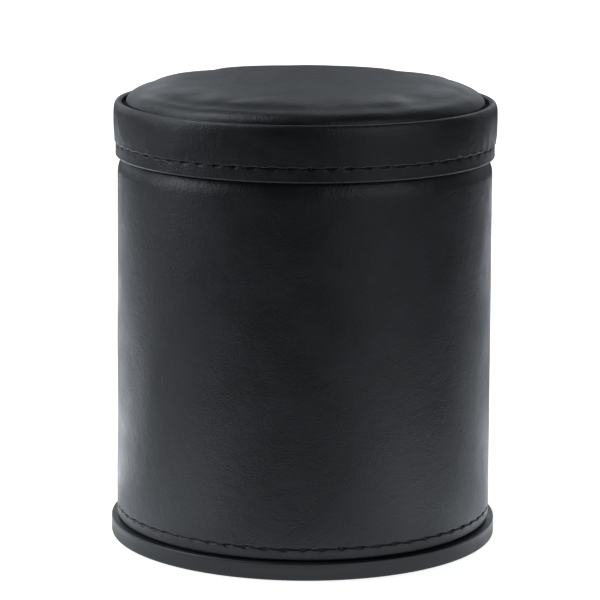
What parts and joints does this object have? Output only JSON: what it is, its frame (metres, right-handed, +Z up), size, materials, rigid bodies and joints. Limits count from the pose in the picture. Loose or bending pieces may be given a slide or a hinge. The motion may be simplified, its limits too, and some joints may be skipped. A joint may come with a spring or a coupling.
{
  "type": "dice cup",
  "caption": "Round leather-covered dice cup standing mouth down on a shallow tray, with a padded lift-off lid over a small dice store in its closed end.",
  "frame": {"origin": "centre of the face that the tray rests on", "axes": "+Z up along the cup's axis; -Y is the side seen from the front; the leather's joins are at the back, at +Y"},
  "size_m": [0.095, 0.095, 0.1124],
  "materials": {
    "tray_plastic": "satin moulded plastic, black",
    "flannel": "brushed flannel, dark red",
    "foot_pad": "matte non-slip foam rubber, black",
    "greyboard": "matte solid board, grey brown",
    "foam": "matte soft foam, off white",
    "leather": "satin fine-grained leather, black",
    "collar_leather": "matte thin leather, black",
    "thread": "waxed sewing thread, black"
  },
  "bodies": {
    "tray": {"tray_body": "tray_plastic", "tray_felt": "flannel", "tray_foot_pad": "foot_pad"},
    "cup": {"cup_core": "greyboard", "cup_padding": "foam", "cup_leather": "leather", "cup_lining": "flannel", "cup_floor_board": "greyboard", "cup_floor_felt": "flannel", "cup_stitching": "thread", "collar_core": "greyboard", "collar_cover": "collar_leather", "store_lining": "flannel", "store_floor_felt": "flannel"},
    "lid": {"lid_core": "greyboard", "lid_top_board": "greyboard", "lid_rim_padding": "foam", "lid_side_leather": "leather", "lid_top_padding": "foam", "lid_top_leather": "leather", "lid_lining": "flannel", "lid_ceiling_felt": "flannel", "lid_stitching": "thread"}
  },
  "joints": [
    {"name": "cup_lift", "type": "slide", "parent": "tray", "child": "cup", "axis": [0, 0, 1], "range_m": [0, 0.1]},
    {"name": "lid_lift", "type": "slide", "parent": "cup", "child": "lid", "axis": [0, 0, 1], "range_m": [0, 0.03]}
  ]
}
